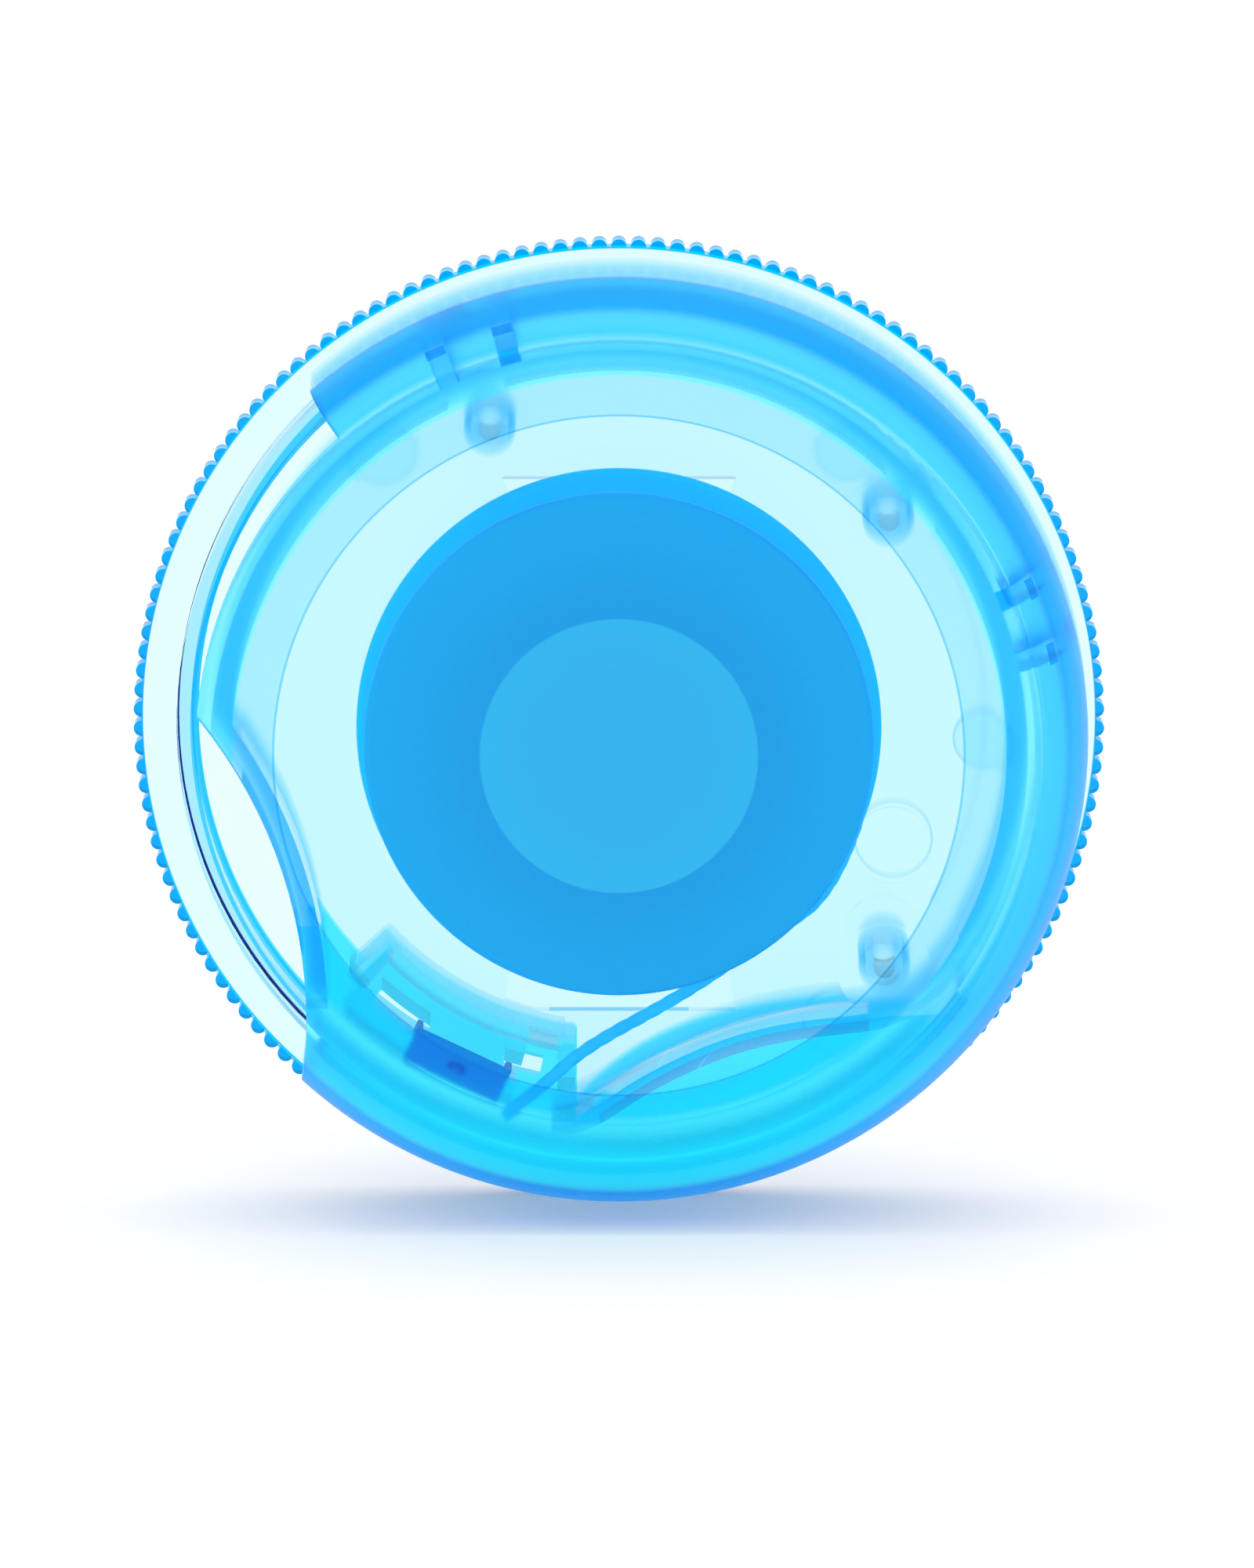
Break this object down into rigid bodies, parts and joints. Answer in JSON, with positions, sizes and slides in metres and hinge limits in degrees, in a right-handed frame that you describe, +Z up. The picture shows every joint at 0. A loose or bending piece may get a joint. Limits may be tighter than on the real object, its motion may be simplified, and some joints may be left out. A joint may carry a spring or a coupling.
{
  "type": "dental floss dispenser",
  "caption": "Round clear twist-to-open floss dispenser: a cover with a finger notch turns on a knurled base that shuts it, with a floss spool and a cutter inside.",
  "frame": {"origin": "on the floor, under the middle of the whole object's box, with the object stood on its rim", "axes": "+Z up, -Y is the clear front face, +Y the rear face of the base, +X to the right seen from the front; the case axis lies along Y, 30 mm up"},
  "size_m": [0.06, 0.016, 0.06],
  "materials": {
    "clear_blue_plastic": "clear blue polystyrene, polished in the middle of the front and lightly frosted outside it",
    "blue_spool_plastic": "clear blue polystyrene, deeper because the floss and hub lie behind it",
    "waxed_floss": "waxed multifilament floss",
    "cutter_steel": "rolled spring steel"
  },
  "bodies": {
    "case": {"front_cover": "clear_blue_plastic", "spool_carrier": "clear_blue_plastic", "cutter_blade": "cutter_steel", "floss_strand": "waxed_floss"},
    "base": {"knurled_base": "clear_blue_plastic"},
    "spool": {"floss_bobbin": "blue_spool_plastic", "floss_winding": "waxed_floss"}
  },
  "joints": [
    {"name": "base_turn", "type": "hinge", "parent": "case", "child": "base", "pos_m": [0, 0, 0.03], "axis": [0, 1, 0], "range_deg": [0, 95]},
    {"name": "spool_spin", "type": "hinge", "parent": "case", "child": "spool", "pos_m": [0, 0, 0.03], "axis": [0, 1, 0], "continuous": true}
  ]
}
